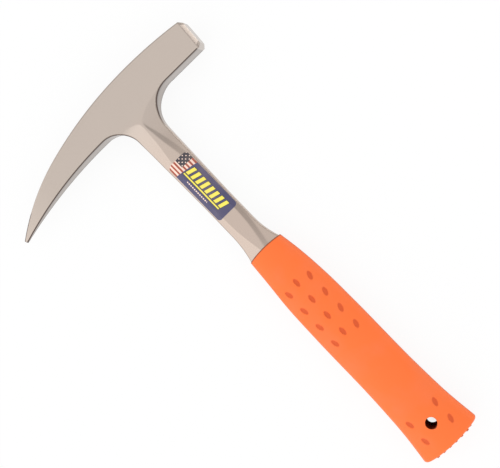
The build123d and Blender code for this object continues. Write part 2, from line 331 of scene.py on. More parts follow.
def shares_across(width, edge, middle_count):
    """Shares of a width for a row of points, close together in the rounded edges.

    There they step by equal angles of the quarter circle, and evenly in between.
    """
    turn = np.linspace(0, np.pi / 2, EDGE_STEPS)
    rim = edge * (1 - np.cos(turn)) / width[:, None]
    even = np.linspace(0, 1, middle_count)[1:-1]
    inner = rim[:, -1:] + (1 - 2 * rim[:, -1:]) * even[None, :]
    return np.concatenate([rim, inner, 1 - rim[:, ::-1]], axis=1)


# ---- Meshes ----------------------------------


def to_part(plan, z):
    """Plan points and heights as an array of part coordinates in metres."""
    return np.stack([plan.real + HANDLE_X, plan.imag + CROWN_Y, z + MID_Z], axis=-1)


def grid_faces(rows, columns, first=0):
    """Quads of a grid of points stored row after row."""
    corner = first + np.arange(rows - 1)[:, None] * columns + np.arange(columns - 1)[None, :]
    corners = np.stack([corner, corner + 1, corner + columns + 1, corner + columns], axis=-1)
    return corners.reshape(-1, 4)


WELD_DISTANCE = 2e-6


def mesh_from_grids(name, grids, marks=None, smooth_angle=30.0):
    """One closed mesh from grids of points, welded where their borders meet.

    Marks are named masks with a value for each grid point, kept as point attributes.
    Doubles are merged and normals turned outwards.
    """
    points = np.concatenate([grid.reshape(-1, 3) for grid in grids])
    faces = []
    first = 0
    for grid in grids:
        faces.append(grid_faces(grid.shape[0], grid.shape[1], first))
        first += grid.shape[0] * grid.shape[1]
    mesh = bpy.data.meshes.new(name)
    mesh.from_pydata(points.tolist(), [], np.concatenate(faces).tolist())
    for mark, values in (marks or {}).items():
        flat = np.concatenate([value.ravel() for value in values])
        mesh.attributes.new(mark, "FLOAT", "POINT").data.foreach_set("value", flat)
    work = bmesh.new()
    work.from_mesh(mesh)
    bmesh.ops.remove_doubles(work, verts=work.verts, dist=WELD_DISTANCE)
    bmesh.ops.recalc_face_normals(work, faces=work.faces)
    work.to_mesh(mesh)
    work.free()
    mesh.shade_smooth()
    mesh.set_sharp_from_angle(angle=np.radians(smooth_angle))
    return mesh


def link_object(name, data):
    """An object in the scene with the data given."""
    item = bpy.data.objects.new(name, data)
    bpy.context.scene.collection.objects.link(item)
    return item


def add_object(mesh, replaced):
    """Links a mesh as a piece of the hammer that stands for a CAD node."""
    piece = link_object(mesh.name, mesh)
    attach(piece, "root")
    if replaced:
        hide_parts(replaced)
    return piece


# ---- Forging ---------------------------------

FILLET_POINTS = 81
RIM_COLUMNS = EDGE_STEPS + 2        # columns near the outline, where the edge may be rounded
WALL_COLUMNS = 9
FACET_SPAN = (-30 * MM, 31 * MM)    # from the handle axis, where the facets cut the cheeks
FACET_RISE = 4.0                    # slope at which the facets leave the head above its underside
FACET_GAP = 0.35 * MM               # how far below the head's underside they begin to rise
LONGEST_EDGE = 0.55                 # most that an edge's radius takes of the half-thickness
SIDES = {"first": np.s_[:, 0], "last": np.s_[:, -1], "start": np.s_[0], "end": np.s_[-1]}

# Half of the twelve-sided section at depths below the crown: depth, then half-width and
# half-thickness at the edge of the flat panel, of the bevel beside it, and of the side.
FACETS = MM * np.array(
    [
        (23.1, 2.0, 12.9, 11.0, 12.5, 36.0, 11.3),
        (33.7, 0.8, 10.5, 2.3, 9.9, 15.5, 5.8),
        (46.0, 1.3, 8.7, 4.2, 6.8, 11.1, 3.8),
        (67.4, 4.0, 6.4, 8.2, 4.0, 11.0, 2.8),
        (104.0, 5.2, 5.4, 8.6, 2.9, 10.2, 2.2),
        (130.0, 4.6, 5.5, 8.1, 3.3, 10.2, 2.4),
        (154.8, 0.7, 6.9, 5.0, 4.6, 14.5, 1.0),
    ]
)


def soft_ramp(run, crease):
    """Zero before the crease and the run itself after it, rounded over where they meet."""
    return (run + np.sqrt(run**2 + crease**2)) / 2


def facet_height(across, depth, crease):
    """Half-thickness of the neck and shank at a distance across and a depth.

    The flat panel drops at one slope over the bevel beside it and at another over the outer
    facet, with each crease rounded.  The section's corners follow smooth curves down the shank.
    """
    panel, panel_z, bevel, bevel_z, edge, edge_z = [
        hermite(depth, FACETS[:, 0], FACETS[:, k]) for k in range(1, 7)
    ]
    across = np.abs(across)
    slope = (panel_z - bevel_z) / (bevel - panel)
    outer_slope = (bevel_z - edge_z) / (edge - bevel)
    drop = slope * soft_ramp(across - panel, crease)
    return panel_z - drop - (outer_slope - slope) * soft_ramp(across - bevel, crease)


class ForgingShape:
    """Outline and thickness of the steel, worked out from the sizes."""

    def __init__(self, head, shank):
        """Finds the corners and the boundary curves of the plan view."""
        self.head, self.shank = head, shank
        self.half = head.thickness / 2
        self.face_out = np.exp(-1j * head.face_tilt)
        face_up = 1j * self.face_out
        self.face_top = complex(head.poll_reach, -head.poll_drop - head.face_bevel)
        self.face_foot = self.face_top - face_up * (head.poll_depth - 2 * head.face_bevel)
        self.poll_top = self.face_top + head.face_bevel * (face_up - self.face_out)
        self.poll_foot = self.face_foot - head.face_bevel * (face_up + self.face_out)
        slope = np.exp(1j * head.tip_lean)
        tip_rise = head.tip_height / 2 * slope.real
        self.tip_top = complex(-head.pick_reach, -head.pick_drop + tip_rise)
        self.tip_foot = self.tip_top + head.tip_height * complex(slope.imag, -slope.real)
        self.join_curves(self.crown(), *self.pick_underside(), self.poll_fillet())

    def crown(self):
        """The crown from the point of the pick, over its peak, to the poll's upper corner."""
        head = self.head
        peak = complex(head.crown_peak, 0)
        bend = complex(-head.crown_bend, -head.crown_bend_drop)
        to_bend = arc_tangent(peak, -1, bend, 250)
        to_poll = arc_tangent(peak, 1, self.poll_top, 180)
        heading = -((bend - peak) ** 2)
        tip_arc = arc_tangent(bend, heading, self.tip_top, 200)[::-1]
        return np.concatenate([tip_arc[:-1], to_bend[:0:-1], to_poll])

    def pick_underside(self):
        """The underside of the pick, and the fillet from it to the neck.

        The underside is an arc through three points.  The fillet's centre stands one radius
        of its own inside that arc and one beside the neck, and they touch on the line between
        the two centres.
        """
        head, shank = self.head, self.shank
        left = -shank.neck_width / 2 - shank.offset
        belly = complex(-head.belly_place, -head.belly_depth)
        corner = complex(left, -head.neck_depth)
        centre = arc_centre(self.tip_foot, belly, corner)
        radius = abs(corner - centre)
        fillet_x = left - shank.pick_fillet
        rise = np.sqrt((radius - shank.pick_fillet) ** 2 - (fillet_x - centre.real) ** 2)
        fillet = complex(fillet_x, centre.imag + rise)
        touch = centre + (fillet - centre) / abs(fillet - centre) * radius
        turn = np.linspace(np.angle(touch - fillet), 0, FILLET_POINTS)
        underside = arc_through(self.tip_foot, belly, touch, 300)
        return underside, fillet + shank.pick_fillet * np.exp(1j * turn)

    def poll_fillet(self):
        """The fillet from the neck to the poll's underside, centred on their bisector."""
        shank = self.shank
        corner = complex(shank.neck_width / 2 - shank.offset, -self.head.neck_depth)
        run = self.poll_foot - corner
        run /= abs(run)
        middle = np.exp(0.5j * (np.angle(run) - np.pi / 2))
        reach = shank.poll_fillet / np.sin(0.5 * (np.angle(run) + np.pi / 2))
        turn = np.linspace(np.pi, np.angle(run) + np.pi / 2, FILLET_POINTS)
        return corner + middle * reach + shank.poll_fillet * np.exp(1j * turn)

    def join_curves(self, crown, underside, pick_arc, poll_arc):
        """Splits the curves where the blocks meet and joins them into one outline.

        The head meets the shank across the middles of the two fillets.
        """
        middle = FILLET_POINTS // 2
        left_mid, right_mid = pick_arc[middle], poll_arc[middle]
        outward = 2 * MM
        first = np.argmin(np.abs(crown.real - left_mid.real + outward))
        last = np.argmin(np.abs(crown.real - right_mid.real - outward))
        self.crown_pick = crown[: first + 1]
        self.crown_neck = crown[first : last + 1]
        self.crown_poll = crown[last:]
        self.under_pick = np.concatenate([underside[:-1], pick_arc[: middle + 1]])
        self.under_poll = np.concatenate([poll_arc[middle:], [self.poll_foot]])
        self.left = np.concatenate([pick_arc[middle:], self.side_line(-1)])
        self.right = np.concatenate([poll_arc[middle::-1], self.side_line(1)])
        outline = np.concatenate(
            [
                resample(crown, 500),
                [self.face_top, self.face_foot],
                resample(self.under_poll, 90)[::-1],
                resample(self.right, 240),
                resample(self.left, 240)[::-1],
                resample(self.under_pick, 260)[::-1],
                [self.tip_top],
            ]
        )
        apart = np.abs(np.diff(outline)) > 1e-3 * MM
        self.outline = outline[np.concatenate([[True], apart])]

    def side_line(self, hand):
        """One side of the shank: straight to the waist, parallel, then a flaring arc."""
        shank = self.shank
        waist = hand * shank.waist_width / 2 - shank.offset
        mouth = hand * shank.mouth_width / 2 - shank.mouth_offset
        end = shank.grip_start + shank.sunk
        neck = hand * shank.neck_width / 2 - shank.offset
        flare = arc_tangent(complex(waist, -shank.flare_start), -1j, complex(mouth, -end), 60)
        return np.concatenate(
            [[complex(neck, -shank.neck_end), complex(waist, -shank.waist_place)], flare]
        )

    def height(self, plan):
        """Half-thickness of the steel at plan points, and its mask of painted shade.

        The least of the cheek, which closes in along an arc towards the point of the pick,
        the bevel round the striking face, and the facets of the neck, less the drop of a
        quarter circle near the outline.
        """
        head = self.head
        past = np.maximum(head.taper_start - plan.real, 0)
        reach = head.taper_start + head.pick_reach
        fall = self.half - head.tip_thickness / 2
        radius = (reach**2 + fall**2) / (2 * fall)
        cheek = self.half - radius + np.sqrt(radius**2 - past**2)
        inside = ((self.face_top - plan) * np.conj(self.face_out)).real
        z = soft_min(cheek, self.half - head.face_bevel + inside, head.crease)
        facet = facet_height(plan.real + self.shank.offset, -plan.imag, head.crease)
        facet += FACET_RISE * np.maximum(head.neck_depth + FACET_GAP + plan.imag, 0)
        near_neck = (plan.real > FACET_SPAN[0]) & (plan.real < FACET_SPAN[1])
        z = np.where(near_neck, soft_min(z, facet, head.crease), z)
        edge = np.full(plan.shape, head.edge_round)
        for rim in (slice(None, RIM_COLUMNS), slice(-RIM_COLUMNS, None)):
            edge[:, rim] = outline_distance(plan[:, rim], self.outline)
        radius = np.minimum(head.edge_round, LONGEST_EDGE * z)
        inset = np.clip(edge / head.edge_round, 0, 1)
        return z - radius * (1 - np.sqrt(1 - (1 - inset) ** 2)), self.painted_shade_mark(plan, inset)

    def painted_shade_mark(self, plan, inset):
        """Painted shade in the rounded edge below the head, from nought to one.

        Under the head and round the fillets it covers the outer half of the rounded edge and
        fades across the inner half.  A fainter line of the same painted shade runs along the crown
        and behind the face's bevel.
        """
        band = np.clip(4 * inset * (1 - inset), 0, 1)
        rim = np.where(inset < 0.5, 1, band)
        inside = ((self.face_top - plan) * np.conj(self.face_out)).real
        ridge_width = 0.4 * MM
        ridge = np.exp(-(((inside - self.head.face_bevel) / ridge_width) ** 2))
        trace = np.maximum(0.2 * band, 0.45 * ridge)
        return np.maximum(rim * self.below_head(plan), trace)

    def below_head(self, plan):
        """One on the undersides of the head and in the fillets, fading down the neck."""
        past = np.clip(-plan.real / self.head.pick_reach, 0, 1)
        lower_half = 0.55 * self.head.neck_depth
        drop_to_tip, fade_length = 10 * MM, 12 * MM
        low = -plan.imag > lower_half + drop_to_tip * past
        on_face = plan.real > self.head.poll_reach - 2 * self.head.face_bevel
        fade = np.clip((self.shank.neck_end + plan.imag) / fade_length, 0, 1)
        return np.where(low & ~on_face, fade, 0)

    def block(self, start_curve, end_curve, middle_count):
        """Plan points on straight rows between two boundary curves, closer near the ends."""
        width = np.abs(end_curve - start_curve)
        part = shares_across(width, self.head.edge_round, middle_count)
        return start_curve[:, None] + (end_curve - start_curve)[:, None] * part

    def grids(self):
        """The whole skin as grids of points, and the masks of painted shade on them.

        Four blocks lie in front and their mirror images behind, with the walls between them
        and the caps at the three ends.  The painted shade on the walls below the head is darkest
        at their rims.
        """
        across_head, across_shank = 48, 40
        crown_pick = resample(self.crown_pick, 190)
        under_pick = resample(self.under_pick, 190)
        crown_poll = np.concatenate([resample(self.crown_poll, 90), [self.face_top]])
        under_poll = np.concatenate([resample(self.under_poll, 90), [self.face_foot]])
        left = resample(self.left, 230)
        right = resample(self.right, 230)
        pick = self.block(crown_pick, under_pick, across_head)
        poll = self.block(crown_poll, under_poll, across_head)
        shank = self.block(left, right, across_shank)
        lower = shank[0]
        ends = np.array([abs(self.crown_neck[-1] - self.crown_neck[0])])
        upper_share = shares_across(ends, self.head.edge_round, across_shank)[0]
        run = np.abs(self.crown_neck - self.crown_neck[0])
        upper = np.interp(upper_share * run[-1], run, self.crown_neck.real) + 1j * np.interp(
            upper_share * run[-1], run, self.crown_neck.imag
        )
        neck = self.block(upper, lower, across_head)
        skins, walls, skin_shade_marks, wall_shade_marks = [], [], [], []
        layers = np.linspace(1, -1, WALL_COLUMNS)
        rim_shade_share = 0.45 + 0.55 * layers**4
        for plan, sides in (
            (pick, ("first", "last", "start")),
            (neck, ("first",)),
            (poll, ("first", "last", "end")),
            (shank, ("first", "last", "end")),
        ):
            z, mark = self.height(plan)
            skins += [to_part(plan, z), to_part(plan, -z)]
            skin_shade_marks += [mark, mark]
            for side in sides:
                line, height = plan[SIDES[side]], z[SIDES[side]]
                across_wall = np.tile(line[:, None], (1, WALL_COLUMNS))
                walls.append(to_part(across_wall, height[:, None] * layers))
                wall_shade_marks.append(self.below_head(line)[:, None] * rim_shade_share)
        return skins + walls, skin_shade_marks + wall_shade_marks


class HAMMER_OT_forging(bpy.types.Operator):
    """Head, neck and shank in polished steel, in place of the CAD forging"""

    bl_idname = "hammer.forging"
    bl_label = "Forging"

    def execute(self, context):
        """Builds the steel skin and gives it its finish."""
        settings = context.scene.rock_hammer
        shape = ForgingShape(settings.head, settings.shank)
        grids, scale = shape.grids()
        # The scale mask is painted shade on the edges and walls below the head.
        mesh = mesh_from_grids("forged_head", grids, {"scale": scale})
        mesh.materials.append(steel_material(settings.finish))
        add_object(mesh, "forging")
        return {"FINISHED"}


# ---- Grip ------------------------------------

BOW_REACH = 24 * MM         # from the handle axis, where the butt has bowed by its whole bow
REST_OF_SIDE = 2 * MM       # kept free of dimples beside the mouth and the butt

# Oval sections of the grip: depth below the crown, half-width, half-thickness and how far
# the middle stands from the handle axis.
OVALS = MM * np.array(
    [
        (147.8, 13.7, 7.4, -0.7),
        (166.0, 15.7, 8.6, 0.0),
        (190.0, 17.7, 9.6, 0.0),
        (216.0, 18.4, 10.1, 0.0),
        (276.0, 18.9, 10.9, 0.0),
        (302.0, 20.1, 11.9, 0.0),
        (331.2, 23.3, 13.3, 0.0),
    ]
)


def oval_grip(grip, start, butt_end, around):
    """Coordinates of the grip's points on rings from the mouth to the butt.

    A ring is an ellipse whose two half-axes follow smooth curves down the grip, drawn in by
    the inset of its rim: a quarter circle at the butt, a small one at the mouth.  The mouth
    and the butt bow with the square of the distance from the axis.
    """
    lip = grip.mouth_round
    turn = np.linspace(0, np.pi / 2, 8)
    mouth_rings, body_rings, butt_rings = 5, 300, 25
    body = np.linspace(start + lip, butt_end - grip.butt_round, body_rings)
    depth = np.concatenate(
        [
            np.full(mouth_rings, start),
            start + lip * (1 - np.cos(turn[1:-1])),
            body,
            butt_end - grip.butt_round * (1 - np.sin(turn[1:])),
            np.full(butt_rings, butt_end),
        ]
    )
    inset = np.concatenate(
        [
            np.full(mouth_rings, lip),
            lip * (1 - np.sin(turn[1:-1])),
            np.zeros(body_rings),
            grip.butt_round * (1 - np.cos(turn[1:])),
            np.full(butt_rings, grip.butt_round),
        ]
    )
    side_rings = np.ones(len(depth) - mouth_rings - butt_rings)
    inner = np.linspace(1, 0, butt_rings + 1)[1:] ** 0.8
    scale = np.concatenate([np.linspace(0, 0.97, mouth_rings), side_rings, inner])
    wide = (hermite(depth, OVALS[:, 0], OVALS[:, 1]) - inset) * scale
    thick = (hermite(depth, OVALS[:, 0], OVALS[:, 2]) - inset) * scale
    offset = hermite(depth, OVALS[:, 0], OVALS[:, 3])
    angle = np.linspace(0, 2 * np.pi, around + 1)
    x = wide[:, None] * np.cos(angle) + offset[:, None]
    z = thick[:, None] * np.sin(angle)
    low = np.clip((depth - start) / (butt_end - start), 0, 1)[:, None]
    bow = grip.mouth_bow * (x / OVALS[0, 1]) ** 2 * (1 - low) ** 6
    bulge = grip.butt_bow * (x / BOW_REACH) ** 2 * low**6
    y = -(depth[:, None] + bow - bulge)
    z = np.clip(z, -grip.butt_thickness / 2, grip.butt_thickness / 2)
    return x, y, z


def dimple_spots(grip):
    """Places of the dimples as plan points, each with the side it leans in from."""
    middle_start = grip.dimple_start - grip.dimple_lead
    spots = [(complex(0, -(middle_start + k * grip.dimple_pitch)), 0) for k in range(4)]
    for hand in (-1, 1):
        for start, spread, count in (
            (grip.dimple_start, grip.dimple_spread, 4),
            (grip.butt_dimple_start, grip.butt_dimple_spread, 2),
        ):
            for k in range(count):
                place = complex(hand * spread, -(start + k * grip.dimple_pitch))
                spots.append((place, hand))
    return spots


def pit_mask(x, y, grip):
    """How deep each point lies in a dimple, from nought to one.

    One less the squared elliptical distance from the dimple's middle, steepened so that
    the floor is flat, and smoothed at its rim.
    """
    steepness = 2.2
    mask = np.zeros(x.shape)
    for middle, hand in dimple_spots(grip):
        local = (x + 1j * y - middle) * np.exp(-1j * (np.pi / 2 - hand * grip.dimple_tilt))
        along = local.real / (grip.dimple_length / 2)
        across = local.imag / (grip.dimple_width / 2)
        inside = np.clip(steepness * (1 - along**2 - across**2), 0, 1)
        mask = np.maximum(mask, inside * inside * (3 - 2 * inside))
    return mask


class HAMMER_OT_grip(bpy.types.Operator):
    """Moulded oval grip with dimples, a lanyard hole and a pipped butt"""

    bl_idname = "hammer.grip"
    bl_label = "Grip"

    def execute(self, context):
        """Builds the oval skin, sinks the dimples, drills the hole and adds the pips.

        A dimple sinks along z by its depth, less where the oval turns away from z.  Shade is
        painted into the colour: deeper in dimples and along the sides, and dark at the mouth and
        along a thin line on the mid-plane.
        """
        settings = context.scene.rock_hammer
        grip = settings.grip
        start = settings.shank.grip_start
        butt_end = CROWN_Y - CAD_BOX[0][1] - grip.pip_height
        x, y, z = oval_grip(grip, start, butt_end, grip.around)
        on_side = (-y > start + REST_OF_SIDE) & (-y < butt_end - REST_OF_SIDE)
        pits = np.where(on_side, pit_mask(x, y, grip), 0)
        flatness = 2.2
        reach = np.sqrt((x / flatness) ** 2 + z**2)
        z = z - pits * grip.dimple_depth * z / np.maximum(reach, MM)
        points = np.stack([x + HANDLE_X, y + CROWN_Y, z + MID_Z], axis=-1)
        # Painted shade: the colour deepens in the dimples and in a band along each side, and
        # darkens at the mouth's rim and along a thin line on the mid-plane.
        side = np.clip(1 - np.abs(z) / grip.side_shade, 0, 1) ** 2
        deep = np.maximum(pits, 0.8 * side)
        depth = -y - grip.mouth_bow * (x / OVALS[0, 1]) ** 2 - start
        line_reach = 0.8 * MM
        mid_line_shade = 0.5 * np.clip(1 - np.abs(z) / line_reach, 0, 1)
        seam = np.maximum(np.clip(1.5 - depth / grip.mouth_round, 0, 1), mid_line_shade)
        mesh = mesh_from_grids("moulded_grip", [points], {"deep": [deep], "seam": [seam]})
        mesh.materials.append(grip_material(settings.finish))
        piece = add_object(mesh, "grip")
        drill_lanyard_hole(piece, grip, settings.finish)
        pip_grids = butt_pips(grip, butt_end)
        # Painted shade on the pips: both masks at half strength.
        shade = [np.full(grid.shape[:2], 0.5) for grid in pip_grids]
        pips = mesh_from_grids("butt_pips", pip_grids, {"deep": shade, "seam": shade})
        pips.materials.append(piece.data.materials[0])
        add_object(pips, None)
        return {"FINISHED"}


def butt_pips(grip, butt_end):
    """Grids of the rounded pips that stand on the butt in three staggered rows.

    Each pip is turned about its own axis: a short cylinder that ends in a quarter-round,
    sunk a little into the bowed butt.
    """
    turn = np.linspace(0, np.pi / 2, 7)
    rim = 0.45 * grip.pip_radius
    foot = -0.4 * grip.pip_height
    shoulder = grip.pip_radius - rim * (1 - np.cos(turn))
    radius = np.concatenate([[0, grip.pip_radius], shoulder, [0]])
    top = grip.pip_height
    rise = np.concatenate([[foot, foot], top - rim * (1 - np.sin(turn)), [top]])
    angle = np.linspace(0, 2 * np.pi, 25)
    grids = []
    for row in (-1, 0, 1):
        count = grip.pip_count - abs(row)
        for middle in (np.arange(count) - (count - 1) / 2) * grip.pip_pitch:
            floor = -butt_end + grip.butt_bow * (middle / BOW_REACH) ** 2
            x = middle + radius[:, None] * np.cos(angle)
            z = row * grip.pip_pitch + radius[:, None] * np.sin(angle)
            y = np.broadcast_to((floor - rise)[:, None], x.shape)
            grids.append(to_part(x + 1j * y, z))
    return grids


def drill_lanyard_hole(piece, grip, finish):
    """Cuts the lanyard hole with a flaring drum and gives its wall a dark material of painted
    shade.

    The drum's radius grows near both faces by a quarter circle, which rounds the rim.
    """
    face_inset, rim, overshoot, wall_margin = 0.6 * MM, 0.7 * MM, 3 * MM, 0.1 * MM
    half = grip.butt_thickness / 2 - face_inset
    turn = np.linspace(0, np.pi / 2, 6)
    flare_z = half - rim + rim * np.sin(turn)
    flare_r = HOLE_RADIUS + rim * (1 - np.cos(turn))
    top_z = np.concatenate([[0], flare_z, [half + overshoot]])
    top_r = np.concatenate([[HOLE_RADIUS], flare_r, [flare_r[-1]]])
    z = np.concatenate([-top_z[:0:-1], top_z])
    r = np.concatenate([top_r[:0:-1], top_r])
    z = np.concatenate([[z[0]], z, [z[-1]]])
    r = np.concatenate([[0], r, [0]])
    angle = np.linspace(0, 2 * np.pi, 65)
    x = HANDLE_X + r[:, None] * np.cos(angle)
    y = CROWN_Y - HOLE_DEPTH + r[:, None] * np.sin(angle)
    points = np.stack([x, y, np.tile(z[:, None] + MID_Z, (1, len(angle)))], axis=-1)
    drum = link_object("drum", mesh_from_grids("drum", [points]))
    cut = piece.modifiers.new("hole", "BOOLEAN")
    cut.operation = "DIFFERENCE"
    cut.solver = "EXACT"
    cut.object = drum
    graph = bpy.context.evaluated_depsgraph_get()
    mesh = bpy.data.meshes.new_from_object(piece.evaluated_get(graph))
    piece.modifiers.clear()
    old = piece.data
    piece.data = mesh
    bpy.data.meshes.remove(old)
    mesh.name = "moulded_grip"
    bpy.data.objects.remove(drum)
    centres = np.empty(len(mesh.polygons) * 3)
    mesh.polygons.foreach_get("center", centres)
    away = np.hypot(*(centres.reshape(-1, 3)[:, :2] - (HANDLE_X, CROWN_Y - HOLE_DEPTH)).T)
    # The wall's material is painted shade: dark where the hole lies in deep shade.
    mesh.materials.append(hole_shade_material(finish))
    on_wall = away < HOLE_RADIUS + wall_margin
    mesh.polygons.foreach_set("material_index", on_wall.astype(int))


# ---- Label -----------------------------------


class HAMMER_OT_label(bpy.types.Operator):
    """Thin printed label that follows the facets of the shank"""

    bl_idname = "hammer.label"
    bl_label = "Label"

    def execute(self, context):
        """Builds the layer on rows whose width follows the rounded corners."""
        settings = context.scene.rock_hammer
        label, shank, head = settings.label, settings.shank, settings.head
        turn = np.linspace(0, np.pi / 2, 9)
        ends = label.corner * (1 - np.cos(turn))
        straight = np.linspace(label.corner, label.extent - label.corner, 60)[1:-1]
        down = np.concatenate([ends, straight, label.extent - ends[::-1]])
        near = np.minimum(np.minimum(down, label.extent - down), label.corner)
        bow = np.sqrt(label.corner**2 - (label.corner - near) ** 2)
        half = label.width / 2 - label.corner + bow
        x = half[:, None] * np.linspace(-1, 1, 61)
        depth = np.tile((label.start + down)[:, None], (1, x.shape[1]))
        steel = facet_height(x, depth, head.crease)
        plan = x - shank.offset - 1j * depth
        top = to_part(plan, steel + label.thickness)
        sunk = 0.1 * MM
        foot = to_part(plan, steel - sunk)
        walls = [np.stack([top[:, 0], foot[:, 0]], 1), np.stack([top[:, -1], foot[:, -1]], 1)]
        walls += [np.stack([top[0], foot[0]], 1), np.stack([top[-1], foot[-1]], 1)]
        mesh = mesh_from_grids("printed_label", [top, foot] + walls)
        mesh.materials.append(label_material(settings.finish, label, shank))
        add_object(mesh, "label")
        return {"FINISHED"}


# ---- Materials -------------------------------


def feed(tree, socket, value):
    """Links a socket to another socket, or sets it to a value."""
    if isinstance(value, bpy.types.NodeSocket):
        tree.links.new(value, socket)
    elif value is not None:
        socket.default_value = value


def add_node(tree, kind, inputs=None):
    """A shader node whose named inputs are fed by sockets or set to values."""
    node = tree.nodes.new("ShaderNode" + kind)
    for name, value in (inputs or {}).items():
        feed(tree, node.inputs[name], value)
    return node


def new_material(name, kind="BsdfPrincipled"):
    """A material with an empty node tree, its output and a shader."""
    material = bpy.data.materials.new(name)
    material.use_nodes = True
    tree = material.node_tree
    tree.nodes.clear()
    shader = add_node(tree, kind)
    add_node(tree, "OutputMaterial", {"Surface": shader.outputs[0]})
    return material, tree, shader


def math_node(tree, operation, first, second=None, third=None):
    """A Math node fed by sockets or numbers, returned as its output."""
    node = add_node(tree, "Math")
    node.operation = operation
    for socket, value in zip(node.inputs, (first, second, third)):
        feed(tree, socket, value)
    return node.outputs[0]


def product(tree, first, *others):
    """The first value times each of the others."""
    for other in others:
        first = math_node(tree, "MULTIPLY", first, other)
    return first


def mix_colour(tree, mask, first, second):
    """Colour that goes from first to second with the mask."""
    node = add_node(tree, "Mix")
    node.data_type = "RGBA"
    sockets = [s for s in node.inputs if s.enabled]
    feed(tree, sockets[0], mask)
    for socket, value in zip(sockets[1:], (first, second)):
        is_socket = isinstance(value, bpy.types.NodeSocket)
        feed(tree, socket, value if is_socket else (*value, 1.0))
    return [s for s in node.outputs if s.enabled][0]


def contrast(tree, value, low, high):
    """The value mapped from the range low to high onto nought to one, and held there."""
    node = add_node(tree, "MapRange", {"Value": value, "From Min": low, "From Max": high})
    return node.outputs["Result"]


def between(tree, value, low, high):
    """Mask that is one where the value lies between two numbers."""
    above = math_node(tree, "GREATER_THAN", value, low)
    below = math_node(tree, "LESS_THAN", value, high)
    return product(tree, above, below)


def axes(tree, coordinates):
    """The X, Y and Z sockets of texture coordinates."""
    place = add_node(tree, "TexCoord").outputs[coordinates]
    return add_node(tree, "SeparateXYZ", {"Vector": place}).outputs


def point_mark(tree, name):
    """The socket of a mask kept on the mesh."""
    node = add_node(tree, "Attribute")
    node.attribute_name = name
    return node.outputs["Fac"]


def new_group(name, inputs, outputs):
    """An empty node group with named sockets, and the nodes that hold them."""
    group = bpy.data.node_groups.new(name, "ShaderNodeTree")
    for direction, sockets in (("INPUT", inputs), ("OUTPUT", outputs)):
        for socket, kind in sockets.items():
            group.interface.new_socket(socket, in_out=direction, socket_type="NodeSocket" + kind)
    return group, group.nodes.new("NodeGroupInput"), group.nodes.new("NodeGroupOutput")


def grain_group():
    """Node group: fine noise stretched along an axis, and broad smudges.

    Grain is noise of the object coordinates times Stretch, and Smudge is noise a few
    centimetres across.  Both run from nought to one about a half.
    """
    found = bpy.data.node_groups.get("surface_grain")
    if found:
        return found
    group, start, end = new_group(
        "surface_grain", {"Stretch": "Vector"}, {"Grain": "Float", "Smudge": "Float"}
    )
    place = add_node(group, "TexCoord").outputs["Object"]
    scaled = add_node(group, "VectorMath")
    scaled.operation = "MULTIPLY"
    feed(group, scaled.inputs[0], place)
    feed(group, scaled.inputs[1], start.outputs["Stretch"])
    for output, where, scale, detail in (
        ("Grain", scaled.outputs["Vector"], 1.0, 3.0),
        ("Smudge", place, 45.0, 4.0),
    ):
        noise = add_node(group, "TexNoise", {"Vector": where, "Scale": scale, "Detail": detail})
        feed(group, end.inputs[output], noise.outputs["Fac"])
    return group


def relief_group():
    """Node group: a normal tilted by the slope of a height, by Depth times Height."""
    found = bpy.data.node_groups.get("surface_relief")
    if found:
        return found
    group, start, end = new_group(
        "surface_relief", {"Height": "Float", "Depth": "Float"}, {"Normal": "Vector"}
    )
    bump = add_node(
        group,
        "Bump",
        {
            "Strength": 1.0,
            "Height": start.outputs["Height"],
            "Distance": start.outputs["Depth"],
        },
    )
    feed(group, end.inputs["Normal"], bump.outputs["Normal"])
    return group


def add_surface(tree, shader, stretch, depth, roughness, spread):
    """Gives a shader its grain: relief of a depth, and roughness that varies by a spread.

    Returns the grain and smudge sockets for the colour.
    """
    grain = add_node(tree, "Group")
    grain.node_tree = grain_group()
    feed(tree, grain.inputs["Stretch"], stretch)
    relief = add_node(tree, "Group")
    relief.node_tree = relief_group()
    feed(tree, relief.inputs["Depth"], depth)
    feed(tree, relief.inputs["Height"], grain.outputs["Grain"])
    feed(tree, shader.inputs["Normal"], relief.outputs["Normal"])
    both = math_node(tree, "ADD", grain.outputs["Grain"], grain.outputs["Smudge"])
    varied = math_node(tree, "MULTIPLY_ADD", both, spread, roughness - spread)
    feed(tree, shader.inputs["Roughness"], varied)
    return grain.outputs["Grain"], grain.outputs["Smudge"]


def steel_material(finish):
    """Satin polished steel with grinding marks across the head and faint handling smudges.

    The steel warms in tone down the neck, and painted shade darkens the marked edges and walls
    below the head.
    """
    material, tree, shader = new_material("polished_steel")
    shader.inputs["Metallic"].default_value = 1.0
    grain, smudge = add_surface(
        tree, shader, (900.0, 6000.0, 900.0), 0.003 * MM, finish.steel_roughness, 0.08
    )
    dull = tuple(0.93 * value for value in finish.steel)
    bright = tuple(1.05 * value for value in finish.steel)
    ground = mix_colour(tree, contrast(tree, grain, 0.3, 0.7), dull, bright)
    worn = mix_colour(tree, contrast(tree, smudge, 0.35, 0.65), ground, finish.steel)
    height = axes(tree, "Object")["Y"]
    down_neck = contrast(tree, height, CROWN_Y - 25 * MM, CROWN_Y - 70 * MM)
    toned = mix_colour(tree, down_neck, worn, finish.warm_steel)
    # Painted shade from the scale mask, on the edges and walls below the head.
    scaled = mix_colour(tree, point_mark(tree, "scale"), toned, finish.scale)
    feed(tree, shader.inputs["Base Color"], scaled)
    return material


